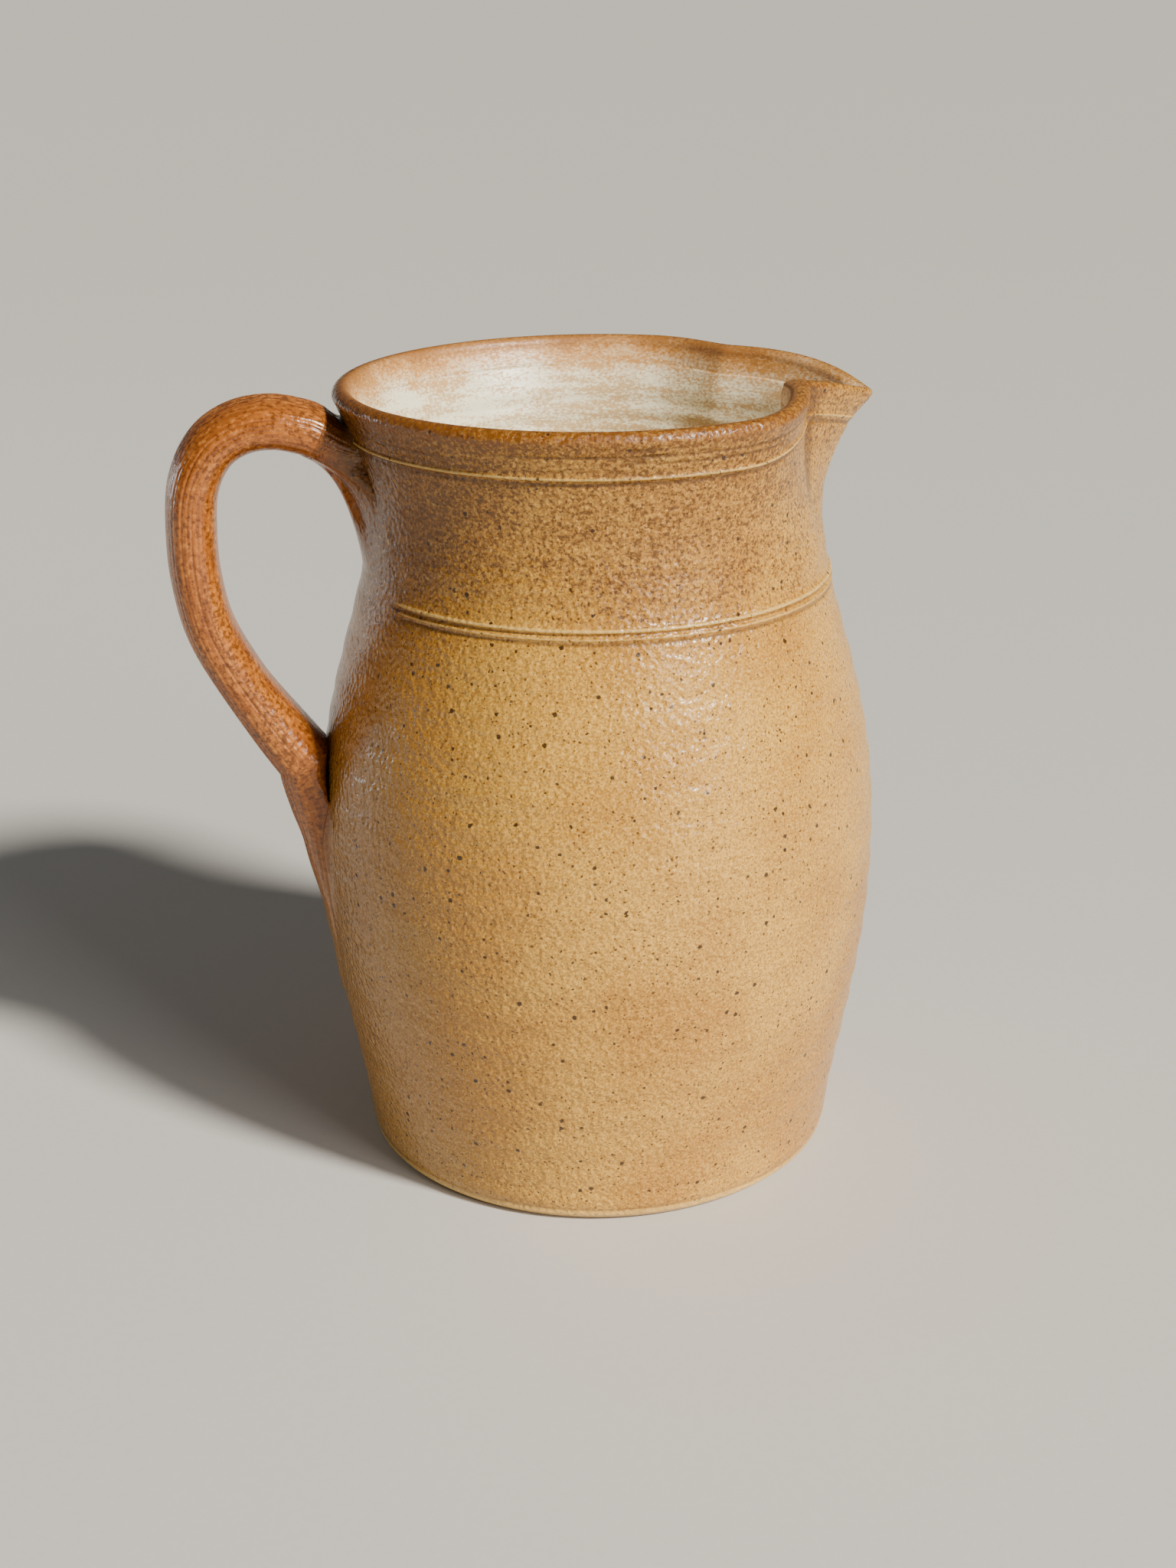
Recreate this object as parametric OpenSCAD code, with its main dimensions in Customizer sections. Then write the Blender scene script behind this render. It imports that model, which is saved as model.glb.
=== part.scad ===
// Salt-glazed stoneware pitcher: a thrown pot with a pulled pouring lip, one strap handle
// that is luted on at both ends, and a thin pale glaze that lines the inside.
// The origin is the middle of the foot, on the table. +Z is up, the lip points along +X
// and the handle along -X.

/* [Pot] */
// Height of the rim's crest above the table
jug_h = 250; // [225:1:280]
// Radius of the flat foot
foot_r = 72.8; // [66:0.2:75]
// Radius of the wall just above the rounded foot edge
heel_r = 77.4; // [76:0.2:82]
// Height of the rounded foot edge
heel_h = 10; // [6:0.5:16]
// Radius of the belly at its fullest
belly_r = 89.2; // [84:0.2:96]
// Height of the fullest part of the belly
belly_h = 101; // [85:1:120]
// Radius of the neck at its narrowest
neck_r = 70; // [64:0.2:76]
// Depth of the narrowest part of the neck below the crest of the rim
neck_drop = 36; // [28:1:44]
// Outer radius of the rim
rim_r = 80; // [77:0.2:84]
// Thickness of the wall, measured level
wall_t = 6; // [4.5:0.1:8]
// Thickness of the floor
floor_t = 9; // [6:0.5:13]
// Rounding between the wall and the floor, inside
floor_round = 22; // [14:1:30]
// Height of the rounding over the rim
crest_round = 3; // [2:0.1:4]

/* [Turned lines] */
// Depth of the raised line under the rim, below the crest
rim_line_drop = 13.8; // [12:0.2:20]
// Depth of the upper shoulder line below the crest of the rim
shoulder_line_drop = 58; // [52:0.5:64]
// Distance from the upper shoulder line to the lower one
shoulder_line_gap = 2.4; // [2.2:0.1:5]
// Width of a raised line
line_w = 1.6; // [1:0.1:2]
// Height of a raised line above the wall
line_proud = 0.6; // [0.2:0.1:1.2]

/* [Pouring lip] */
// How far the tip of the lip stands out beyond the rim
lip_reach = 9.6; // [4:0.2:16]
// How far the rim is tucked in beside the lip, on the right of someone pouring
throat_tuck = 13; // [4:0.5:15]
// Angle from the lip's middle to the throat, where the rim is tucked in most, on that side
throat_angle = 20; // [16:1:26]
// How far the rim is tucked in on the other side, where the hand drew it out softly
far_tuck = 6; // [2:0.5:12]
// Angle from the lip's middle to the throat on that side
far_throat_angle = 40; // [26:1:44]
// Angle from the lip's middle to the part of the rim that is still round
lip_spread = 65; // [50:1:80]
// Depth below the crest at which the tuck has faded out
tuck_depth = 52; // [40:1:60]
// Depth below the crest at which the lip's keel has faded out
keel_depth = 70; // [55:1:84]
// Depth below the crest from which the keel stands out fully
keel_full_drop = 6; // [4:1:12]
// How far the wall was drawn up at the throat
throat_rise = 4.6; // [0:0.2:9]
// How far the wall has sagged under the tip
keel_sag = 1.6; // [0:0.1:4]
// How far the band above the rim line is thinned down at the throat
throat_squeeze = 3.1; // [0:0.1:7]
// How far that band is thinned down at the tip
tip_squeeze = 4.8; // [2:0.1:8]

/* [Handle] */
// Width of the strap, across the pot's middle line
strap_w = 27; // [22:0.5:34]
// Thickness of the strap
strap_t = 15.5; // [11:0.5:18]
// Distance of the strap's middle from the pot's axis, where it stands out most
handle_reach = 124; // [116:1:140]
// Depth of the strap's middle below the crest of the rim, where the arch is highest
arch_drop = 9; // [8.5:0.5:16]
// Depth of the middle of the strap's upper end below the crest of the rim
root_drop = 12.8; // [12:0.2:20]
// Length of the joint clay between the neck and the strap's upper end
root_stand = 9.4; // [8:0.1:12]
// How far the neck and the rim were pulled out of round towards the handle
handle_pull = 1.2; // [0:0.1:3]
// Height at which the underside of the strap comes down on the belly
tail_h = 139; // [125:1:150]
// Height at which the pressed tail ends
tail_end_h = 52; // [40:1:66]
// Thickness of the strap where it comes down on the belly
tail_t = 18; // [14:0.5:21]
// Half width of the tail where it is pressed widest
tail_press_w = 15.5; // [12:0.5:18]
// Thinnest edge of the pressed tail
tail_edge = 0.8; // [0.5:0.1:1.5]

/* [Joint clay] */
// Depth of the wiped root's upper edge below the crest of the rim
root_top_drop = 9.5; // [7:0.5:12]
// Depth of the middle of the wiped root's footprint below the crest
root_mid_drop = 18; // [15:0.5:22]
// Depth of the wiped root's lower edge below the crest
root_end_drop = 59; // [50:1:66]
// Half width of the wiped root on the neck
root_half_w = 13.5; // [12:0.5:17]
// How much wider than that the clay lies where the strap's sides have run out
root_flare = 8; // [5:0.5:10]
// How much wider still the clay was wiped out at its lower corners
root_spread = 28; // [14:1:32]
// Width of the clay worked along the tail, at the top
fillet_w = 1.6; // [1:0.1:3]
// How much wider that clay is pressed further down
fillet_spread = 4.6; // [2:0.2:7]
// Gap between the strap's tail and the clay worked along it
fillet_gap = 0.1; // [0.05:0.01:0.3]
// Clearance under that clay, over the wall it was pressed on
fillet_bed = 0.06; // [0:0.01:0.1]

/* [Inner glaze] */
// Thickness of the glaze
glaze_t = 0.5; // [0.3:0.05:0.9]
// Depth of the glaze's upper edge below the crest of the rim
glaze_drop = 8; // [6:0.5:12]

/* [Hidden] */

clay_colour = [0.74, 0.55, 0.31];
strap_colour = [0.55, 0.30, 0.13];
joint_colour = [0.42, 0.22, 0.10];
glaze_colour = [0.88, 0.83, 0.73];

neck_h = jug_h - neck_drop;
rim_line_h = jug_h - rim_line_drop;
shoulder_line_h = jug_h - shoulder_line_drop;
tuck_base_h = jug_h - tuck_depth;

// Powers that set how full each curve is
body_fullness = 1.2;
shoulder_lean = 1.3;
flare_power = 1.8;
tuck_power = 1.35;
keel_power = 1.7;
rise_power = 1.3;
beak_power = 1.4;
far_beak_power = 1;
far_droop_power = 3;
beak_soft_angle = 1.2;

// Plain helpers
function clamp(u) = min(max(u, 0), 1);
function mix(a, b, u) = a + (b - a) * u;
function ease(u) = clamp(u) * clamp(u) * (3 - 2 * clamp(u));
function span(h, low, high) = clamp((h - low) / (high - low));

// Radius of the plain thrown wall, outside, at a height
function wall_r(h) =
    h < heel_h ? foot_r + (heel_r - foot_r) * sqrt(1 - pow(1 - span(h, 0, heel_h), 2))
    : h < belly_h ? mix(heel_r, belly_r, pow(sin(90 * span(h, heel_h, belly_h)), body_fullness))
    : h < neck_h ? mix(belly_r, neck_r, ease(pow(span(h, belly_h, neck_h), shoulder_lean)))
    : mix(neck_r, rim_r, pow(span(h, neck_h, jug_h), flare_power));

// Angle of the throat, and depth of the tuck, on the side that an angle lies on
function throat_of(a) = a > 0 ? far_throat_angle : throat_angle;
function tuck_of(a) = a > 0 ? far_tuck : throat_tuck;
// Share of the tuck beside the lip, by angle from the lip's middle
function tuck_at(a) = ease((lip_spread - abs(a)) / (lip_spread - throat_of(a)));
// Share of the beak between the two throats, by angle
function beak_at(a) =
    let (soft = sqrt(a * a + beak_soft_angle * beak_soft_angle) - beak_soft_angle)
    pow(clamp(1 - soft / throat_of(a)), a > 0 ? far_beak_power : beak_power);
// Share of the droop towards the tip, which comes late on the softly drawn side
function droop_at(a) = pow(beak_at(a), a > 0 ? far_droop_power : 1);
// Share of the rise at the throat, which only the tightly tucked side has
function rise_at(a) = a > 0 ? 0 : tuck_at(a);
// How the tuck, the keel and the rise fade out down the wall
function tuck_fade(h) = pow(span(h, tuck_base_h, jug_h), tuck_power);
function keel_fade(h) = pow(span(h, jug_h - keel_depth, jug_h - keel_full_drop), keel_power);
function rise_fade(h) = pow(span(h, tuck_base_h, rim_line_h), rise_power);

// Outward shift and lift of the wall at the lip
function lip_shift(a, h) =
    lip_reach * beak_at(a) * keel_fade(h)
    - tuck_of(a) * tuck_at(a) * tuck_fade(h) * (1 - beak_at(a));
function lip_lift(a, h) =
    mix(throat_rise * rise_at(a), -keel_sag, droop_at(a)) * rise_fade(h)
    - mix(throat_squeeze * rise_at(a), tip_squeeze, droop_at(a)) * span(h, rim_line_h, jug_h);

// Outward shift of the wall on the handle's side, at its middle plane
pull_first_drop = 60;
pull_full_drop = 35;
function pull_at(h) = handle_pull * ease(span(h, jug_h - pull_first_drop, jug_h - pull_full_drop));

// A point of the wall from its radius before the lip and the handle's side are pulled
function wall_point(a, h, r) =
    let (out = r + lip_shift(a, h) + pull_at(h) * pow(max(-cos(a), 0), 2))
    [out * cos(a), out * sin(a), h + lip_lift(a, h)];

// Angles round the pot: fine at the lip, wider at its shoulders, wide behind
lip_steps = 10;
side_steps = 9;
back_steps = 36;
back_step = (360 - 2 * lip_spread) / back_steps;
side_step = (lip_spread - throat_angle) / side_steps;
angles = concat(
    [for (k = [-lip_steps : lip_steps]) throat_angle * k / lip_steps],
    [for (k = [1 : side_steps]) throat_angle + side_step * k],
    [for (k = [1 : back_steps]) lip_spread + back_step * k],
    [for (k = [1 : side_steps - 1]) 360 - lip_spread + side_step * k]);
function signed(a) = a > 180 ? a - 360 : a;
function wall_ring(h, r) = [for (a = angles) wall_point(signed(a), h, r)];

// Rows of the outer wall: height, and how far a raised line stands proud there
function plain_rows(low, high, count) = [for (k = [1 : count]) [mix(low, high, k / count), 0]];
function line_rows(h) = [[h - line_w / 2, 0], [h, line_proud], [h + line_w / 2, 0]];
heel_shares = [0, 0.12, 0.36, 1];
belly_steps = 9;
shoulder_steps = 9;
outer_rows = concat(
    [for (s = heel_shares) [heel_h * s, 0]],
    plain_rows(heel_h, belly_h, belly_steps),
    plain_rows(belly_h, shoulder_line_h - shoulder_line_gap - line_w, shoulder_steps),
    line_rows(shoulder_line_h - shoulder_line_gap),
    line_rows(shoulder_line_h),
    plain_rows(shoulder_line_h + line_w, rim_line_h - line_w, 4),
    line_rows(rim_line_h),
    plain_rows(rim_line_h + line_w, jug_h - crest_round, 3));

// Radius inside the wall, and the rounded corner down to the floor
function inner_r(h) =
    let (corner = span(h, floor_t, floor_t + floor_round))
    wall_r(h) - wall_t - floor_round * (1 - sqrt(1 - pow(1 - corner, 2)));
inner_top_h = jug_h - crest_round;
inner_shares = [0.965, 0.93, 0.89, 0.84, 0.78, 0.71, 0.63, 0.54, 0.45, 0.35, 0.25, 0.16];
corner_shares = [1, 0.62, 0.3, 0.1, 0];
glaze_top_h = jug_h - glaze_drop;
glaze_rows = concat(
    [glaze_top_h],
    [for (s = inner_shares) mix(floor_t, glaze_top_h, s)],
    [for (s = corner_shares) floor_t + floor_round * s]);
floor_ring_shares = [0.55, 0.25];

// A closed skin over rings of equal count, with one point at each end. Each four-sided patch is
// cut along one diagonal or, where it lies on a skin that was built the other way up, the other
function patch(a, b, c, d, crossed) = crossed ? [[a, b, d], [b, c, d]] : [[a, b, c], [a, c, d]];
function skin_faces(count, sides, crossed) = concat(
    [for (i = [0 : count - 2], j = [0 : sides - 1])
        let (k = (j + 1) % sides, low = i * sides, high = low + sides)
        each patch(low + j, high + j, high + k, low + k, crossed)],
    [for (j = [0 : sides - 1]) [count * sides, j, (j + 1) % sides]],
    [for (j = [0 : sides - 1])
        [count * sides + 1, (count - 1) * sides + (j + 1) % sides, (count - 1) * sides + j]]);
module skin(rings, first, last, crossed = false) {
    points = concat([for (ring = rings, p = ring) p], [first, last]);
    polyhedron(points, skin_faces(len(rings), len(rings[0]), crossed), convexity = 8);
}

// Rings that the pot and the glaze share, and the rings over the rim
function crest_ring(turn) =
    wall_ring(jug_h - crest_round * (1 - sin(turn)),
              wall_r(jug_h - crest_round) - wall_t / 2 * (1 - cos(turn)));
crest_turns = [40, 75, 105, 140];
function inside_ring(h, inset) = wall_ring(h, inner_r(h) - inset);
function floor_ring(share, level) =
    [for (a = angles) inner_r(floor_t) * share * [cos(a), sin(a), 0] + [0, 0, level]];

module thrown_pot() {
    outside = [for (row = outer_rows) wall_ring(row[0], wall_r(row[0]) + row[1])];
    crest = [for (turn = crest_turns) crest_ring(turn)];
    inside = concat(
        [inside_ring(inner_top_h, 0)],
        [for (h = glaze_rows) inside_ring(h, 0)],
        [for (s = floor_ring_shares) floor_ring(s, floor_t)]);
    color(clay_colour)
        skin(concat(outside, crest, inside), [0, 0, 0], [0, 0, floor_t]);
}

// The glaze lies on the pot's inside and thins to an edge under the rim
glaze_edge_share = 0.25;
function glaze_ring(h) =
    let (inset = h == glaze_top_h ? glaze_t * glaze_edge_share : glaze_t)
    let (low = span(h, floor_t + floor_round, floor_t))
    [for (p = inside_ring(h, inset * (1 - low))) p + [0, 0, glaze_t * low]];
module liner_glaze() {
    backed = concat(
        [for (s = reverse(floor_ring_shares)) floor_ring(s, floor_t)],
        [for (h = reverse(glaze_rows)) inside_ring(h, 0)]);
    face = concat(
        [for (h = glaze_rows) glaze_ring(h)],
        [for (s = floor_ring_shares) floor_ring(s, floor_t + glaze_t)]);
    color(glaze_colour)
        skin(concat(backed, face), [0, 0, floor_t], [0, 0, floor_t + glaze_t], crossed = true);
}
function reverse(list) = [for (i = [len(list) - 1 : -1 : 0]) list[i]];

// Rounded cross-section of the strap: share across the width, share through the thickness
strap_sides = 28;
strap_squareness = 2.5;
function soft(u) = sign(u) * pow(abs(u), 2 / strap_squareness);
section = [for (k = [0 : strap_sides - 1])
    let (turn = 360 * k / strap_sides) [soft(cos(turn)), soft(sin(turn))]];

// Places along the strap's middle line: distance from the axis, and height
root_h = jug_h - root_drop;
root_d = wall_r(root_h) + handle_pull + root_stand;
arch_h = jug_h - arch_drop;
// Shares of the way out from the root to the reach, and up from the tail to the arch's top
arch_shares = [[0.10, 0.981], [0.342, 1], [0.60, 0.986], [0.818, 0.930], [0.962, 0.822],
               [1, 0.667], [0.980, 0.525], [0.894, 0.377], [0.69, 0.219], [0.473, 0.088]];
tail_lean = 30;
tail_start = [wall_r(tail_h) + tail_t / 2 * cos(tail_lean), tail_h - tail_t / 2 * sin(tail_lean)];
handle_marks = concat(
    [[root_d, root_h]],
    [for (s = arch_shares) [mix(root_d, handle_reach, s[0]), mix(tail_h, arch_h, s[1])]],
    [tail_start]);
last_mark = len(handle_marks) - 1;
function mark(i) =
    i < 0 ? 2 * handle_marks[0] - handle_marks[1]
    : i > last_mark ? 2 * handle_marks[last_mark] - handle_marks[last_mark - 1]
    : handle_marks[i];
function flow(i, u) =
    let (a = mark(i - 1), b = mark(i), c = mark(i + 1), d = mark(i + 2))
    b + (c - a) * u / 2 + (2 * a - 5 * b + 4 * c - d) * u * u / 2
    + (3 * b - a - 3 * c + d) * u * u * u / 2;
mark_steps = 3;
spine = concat(
    [for (i = [0 : last_mark - 1], k = [0 : mark_steps - 1]) flow(i, k / mark_steps)]);
function spine_way(i) =
    let (before = spine[max(i - 1, 0)], after = i + 1 < len(spine) ? spine[i + 1] : tail_start)
    (after - before) / norm(after - before);
// The strap is a little wider at its lower end than in the grip,
end_swell_share = 0.1;
end_swell_power = 4;
function strap_swell(i) =
    1 + end_swell_share * pow(max(2 * i / (len(spine) - 1) - 1, 0), end_swell_power);
// and thickens to the tail's own thickness over its last rings
thicken_rings = 6;
function strap_thick(i) =
    mix(strap_t, tail_t, ease(span(i, len(spine) - thicken_rings, len(spine))));
function strap_ring(i) =
    let (c = spine[i], way = spine_way(i), out = [-way[1], way[0]])
    [for (s = section)
        let (y = s[0] * strap_w / 2 * strap_swell(i), n = s[1] * strap_thick(i) / 2)
        [-(c[0] + out[0] * n), y, c[1] + out[1] * n]];

// Distance of the wall's face from the middle plane's normal axis, at a side distance y
function face_x(y, h) =
    let (r = wall_r(h), out = r + pull_at(h) * max(1 - pow(y / r, 2), 0))
    -sqrt(max(out * out - y * y, 0));

// The tail lies on the belly: it thins and leans less towards its rounded end
tail_steps = 12;
tail_thin_power = 2.1;
tail_lean_power = 3;
tail_crowding = 1.6;
// Share of the tail over which the strap's rounded underside is pressed flat on the belly
press_share = 0.25;
press_widest_share = 0.6;
tail_round_power = 6;
function tail_u(share) = 1 - pow(1 - share, tail_crowding);
function tail_level(u) = mix(tail_h, tail_end_h, u);
function tail_high(u) = max(tail_t * pow(1 - u, tail_thin_power), tail_edge);
function tail_half_w(u) =
    mix(strap_w / 2 * (1 + end_swell_share), tail_press_w, ease(u / press_widest_share))
    * sqrt(1 - pow(u, tail_round_power));
function tail_ring(u) =
    let (lean = tail_lean * pow(1 - u, tail_lean_power))
    [for (s = section)
        let (y = s[0] * tail_half_w(u), h = tail_level(u))
        let (n = mix((s[1] + 1) / 2, max(s[1], 0), ease(u / press_share)) * tail_high(u))
        [face_x(y, h) - n * cos(lean), y, h - n * sin(lean)]];

module handle_strap() {
    rings = concat(
        [for (i = [0 : len(spine) - 1]) strap_ring(i)],
        [for (i = [0 : tail_steps - 1]) tail_ring(tail_u(i / tail_steps))]);
    first = [-spine[0][0], 0, spine[0][1]];
    last = [face_x(0, tail_end_h), 0, tail_end_h];
    color(strap_colour)
        skin(reverse(rings), last, first);
}

// Joint clay at the neck: it starts as the strap's own section and is wiped down the wall. Its
// sides land beside the strap, and the clay of its underside runs down and out in a fan, which
// slopes gently to its own edge
wipe_steps = 10;
wipe_power = 1.2;
wipe_hollow = 0.3;
wipe_hollow_power = 9;
wipe_side_power = 0.7;
wipe_turn_power = 5;
function wipe_left(u, under) =
    mix(pow(1 - u, wipe_side_power),
        mix(pow(1 - u, wipe_power), pow(1 - u, wipe_hollow_power), wipe_hollow), under);
fan_squareness = 0.35;
fan_drop_power = 4;
fan_power = 3.3;
flare_share = 0.35;
slope_full_share = 0.6;
slope_least = 0.12;
// The underside begins and is reached at these shares of the way down round the section
under_first = 0.62;
under_full = 0.95;
function fan_edge(across, down) =
    pow(across, fan_squareness)
    * (root_half_w + root_flare * ease(down / flare_share) + root_spread * pow(down, fan_power));
function fan_edge_at(h) =
    let (down = span(jug_h - h, root_mid_drop, root_end_drop))
    let (turn = asin(pow(down, 1 / fan_drop_power)))
    max(fan_edge(cos(turn), down), root_half_w / 2);
function root_mark(s) =
    let (down = pow(max(-s[1], 0), fan_drop_power))
    let (drop = root_mid_drop + down * (root_end_drop - root_mid_drop)
        - max(s[1], 0) * (root_mid_drop - root_top_drop))
    [sign(s[0]) * fan_edge(abs(s[0]), down), jug_h - drop];
function side_slope(y, h) = max(1 - pow(y / fan_edge_at(h), 2), slope_least);
round_section = [for (k = [0 : strap_sides - 1])
    let (turn = 360 * k / strap_sides) [cos(turn), sin(turn)]];
function wipe_point(k, u) =
    let (from = strap_ring(0)[k], to = root_mark(round_section[k]))
    let (stand = face_x(from[1], from[2]) - from[0])
    let (y = mix(from[1], to[0], pow(u, wipe_turn_power)), h = mix(from[2], to[1], u))
    let (under = ease(span(-round_section[k][1], under_first, under_full)))
    let (slope = mix(1, side_slope(y, h), under * ease(u / slope_full_share)))
    [face_x(y, h) - stand * wipe_left(u, under) * slope, y, h];
function footprint_point(k, share) =
    let (to = root_mark(round_section[k]), mid = jug_h - root_mid_drop)
    let (y = to[0] * share, h = mix(mid, to[1], share))
    [face_x(y, h), y, h];
footprint_shares = [0.8, 0.6, 0.4, 0.2];
module upper_joint_clay() {
    rings = concat(
        [for (u = [0 : wipe_steps]) [for (k = [0 : strap_sides - 1]) wipe_point(k, u / wipe_steps)]],
        [for (s = footprint_shares) [for (k = [0 : strap_sides - 1]) footprint_point(k, s)]]);
    mid = jug_h - root_mid_drop;
    color(joint_colour)
        skin(rings, [-spine[0][0], 0, spine[0][1]], [face_x(0, mid), 0, mid]);
}

// Joint clay at the belly: a fillet worked along one edge of the tail, round its end and
// back up the other edge
fillet_steps = 11;
fillet_top_share = 0.3;
// The fillet starts thin where the tail's edges are pressed down, and is soon full
fillet_first_size = 0.15;
fillet_start_share = 0.1;
fillet_full_share = 0.25;
fillet_end_share = 0.97;
function tail_edge_mark(u, side) = [side * tail_half_w(u), tail_level(u)];
function step_u(i) = tail_u(mix(fillet_start_share, fillet_end_share, i / fillet_steps));
function edge_marks(side) = [for (i = [0 : fillet_steps]) tail_edge_mark(step_u(i), side)];
edge_path = concat(edge_marks(-1), reverse(edge_marks(1)));
last_edge = len(edge_path) - 1;
function edge_u(i) = step_u(min(i, last_edge - i));
function edge_away(i) =
    let (way = edge_path[min(i + 1, last_edge)] - edge_path[max(i - 1, 0)])
    [way[1], -way[0]] / norm(way);
function fillet_ring(i) =
    let (at = edge_path[i], away = edge_away(i), u = edge_u(i))
    let (wide = fillet_w + fillet_spread * ease(u / press_widest_share))
    let (near = at + away * fillet_gap, far = near + away * wide)
    let (full = mix(fillet_first_size, 1,
        ease(span(u, tail_u(fillet_start_share), tail_u(fillet_full_share)))))
    let (top = fillet_top_share * tail_high(u) * full)
    let (near_x = face_x(near[0], near[1]) - fillet_bed, far_x = face_x(far[0], far[1]) - fillet_bed)
    [[near_x, near[0], near[1]], [near_x - top, near[0], near[1]], [far_x, far[0], far[1]]];
module lower_joint_clay() {
    rings = [for (i = [0 : last_edge]) fillet_ring(i)];
    function middle(ring) = (ring[0] + ring[1] + ring[2]) / 3;
    color(joint_colour)
        skin(reverse(rings), middle(rings[last_edge]), middle(rings[0]));
}

thrown_pot();
liner_glaze();
handle_strap();
upper_joint_clay();
lower_joint_clay();
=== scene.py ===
# %% [markdown]
# # A salt-glazed stoneware pitcher
# The pitcher was thrown on a wheel, its lip was pulled out of the soft rim, and a ribbed strap
# was luted on as a handle. It was fired with salt, which leaves a thin speckled glass on the clay.
# This lesson starts from the imported solids, which fix every size and place, and gives each piece the
# surface that the real one has. The solids are loaded first.

# %% Load the imported part
import math
import bpy
import numpy as np
from mathutils import Matrix, Vector


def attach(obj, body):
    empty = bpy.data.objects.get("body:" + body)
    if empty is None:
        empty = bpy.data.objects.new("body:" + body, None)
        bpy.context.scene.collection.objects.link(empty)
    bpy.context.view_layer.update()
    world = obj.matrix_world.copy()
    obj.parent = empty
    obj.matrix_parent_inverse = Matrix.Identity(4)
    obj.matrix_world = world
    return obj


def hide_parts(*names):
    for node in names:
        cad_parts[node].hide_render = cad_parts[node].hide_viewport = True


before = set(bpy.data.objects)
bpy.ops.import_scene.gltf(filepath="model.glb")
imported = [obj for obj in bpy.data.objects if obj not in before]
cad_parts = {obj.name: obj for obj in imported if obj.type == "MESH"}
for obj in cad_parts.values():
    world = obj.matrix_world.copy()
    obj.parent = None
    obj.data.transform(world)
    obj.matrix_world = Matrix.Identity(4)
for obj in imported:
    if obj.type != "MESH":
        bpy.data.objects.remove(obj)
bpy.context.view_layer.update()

# %% [markdown]
# The camera stands where the photographer stood: a little above the pitcher's rim, close to it,
# and turned so that the lip points right and slightly away. A place and three turns are enough,
# because a lens only needs a position, a heading, a tilt and a roll. The lens is a normal one,
# and the object keeps the same place in the picture as in the photograph.

# %% Camera
# Metres, then radians: the heading runs from +Y towards +X, and the tilt looks down
CAMERA_PLACE = Vector((-0.12105, -0.68651, 0.38688))
CAMERA_HEADING, CAMERA_TILT, CAMERA_ROLL = 0.170533, 0.3688, -0.0079
LENS_MM, SENSOR_MM = 52.73, 36

ahead = Vector((math.sin(CAMERA_HEADING), math.cos(CAMERA_HEADING), 0))
across = Vector((math.cos(CAMERA_HEADING), -math.sin(CAMERA_HEADING), 0))
above = Vector((0, 0, math.cos(CAMERA_TILT))) + ahead * math.sin(CAMERA_TILT)
view = ahead * math.cos(CAMERA_TILT) - Vector((0, 0, math.sin(CAMERA_TILT)))
right = across * math.cos(CAMERA_ROLL) + above * math.sin(CAMERA_ROLL)
up = above * math.cos(CAMERA_ROLL) - across * math.sin(CAMERA_ROLL)

camera = bpy.data.objects.new("camera", bpy.data.cameras.new("camera"))
camera.data.lens = LENS_MM
camera.data.sensor_width = SENSOR_MM
turned = Matrix((right, up, -view)).transposed().to_4x4()
camera.matrix_world = Matrix.Translation(CAMERA_PLACE) @ turned
bpy.context.scene.collection.objects.link(camera)
bpy.context.scene.camera = camera
print("camera at", tuple(round(v, 3) for v in CAMERA_PLACE), "lens", camera.data.lens, "mm")

# %% [markdown]
# Every curve of the pot is a formula of height and angle, in millimetres, the same as in the
# part's own source. Four small helpers make them readable: a value kept between 0 and 1, a mix
# of two values, a soft start and stop, and the share of a range that a height has passed.
# A fifth gives the cross-section of a single turned ridge or groove: a smooth bump, one high in
# its middle, that has all but run out at twice its half width.

# %% Helpers for curves
MM = 0.001

def clamp(u): return np.clip(u, 0.0, 1.0)
def mix(a, b, u): return a + (b - a) * u
def ease(u): return clamp(u) ** 2 * (3 - 2 * clamp(u))
def span(h, low, high): return clamp((h - low) / (high - low))
def ridge(distance, half_width): return np.exp(-(distance / half_width) ** 2)

# %% [markdown]
# Hand work wanders: a ridge is never equally tall all round, and a comb never cuts equally deep.
# A few sine waves with seeded strengths and starts give a smooth irregular curve. It closes after
# a full turn, so it has no seam on a round pot, and the seed makes it the same at every run.

# %% A curve that wanders
def wander(turn, seed, waves=7, first=1):
    rng = np.random.default_rng(seed)
    strength = rng.normal(size=waves)
    start = rng.uniform(0, 2 * np.pi, size=waves)
    total = sum(strength[k] * np.sin((first + k) * turn + start[k]) for k in range(waves))
    usual = np.sqrt((strength ** 2).sum() / 2)
    # One and a half times its usual swing counts as 1, so most of it lies between -1 and 1
    return total / usual / 1.5

print("wander spans", np.round(wander(np.linspace(0, 6.28, 9), 3), 2))

# %% [markdown]
# The pot's wall is one curve from foot to rim: a rounded heel, a swelling belly, a shoulder that
# leans in, and a neck that flares out. A lathe tool could draw it too, but the lip changes the
# wall on one side only, so a formula of height and angle serves both.

# %% Sizes and profile of the pot
jug_h, foot_r, heel_r, heel_h = 250.0, 72.8, 77.4, 10.0
belly_r, belly_h, neck_r, neck_h = 89.2, 101.0, 70.0, 214.0
rim_r, wall_t, floor_t, floor_round, crest_round = 80.0, 6.0, 9.0, 22.0, 3.0
rim_line_h, shoulder_line_h, shoulder_line_gap = 236.2, 192.0, 2.4
# Powers that set how full each curve is
body_fullness, shoulder_lean, flare_power = 1.2, 1.3, 1.8

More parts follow.
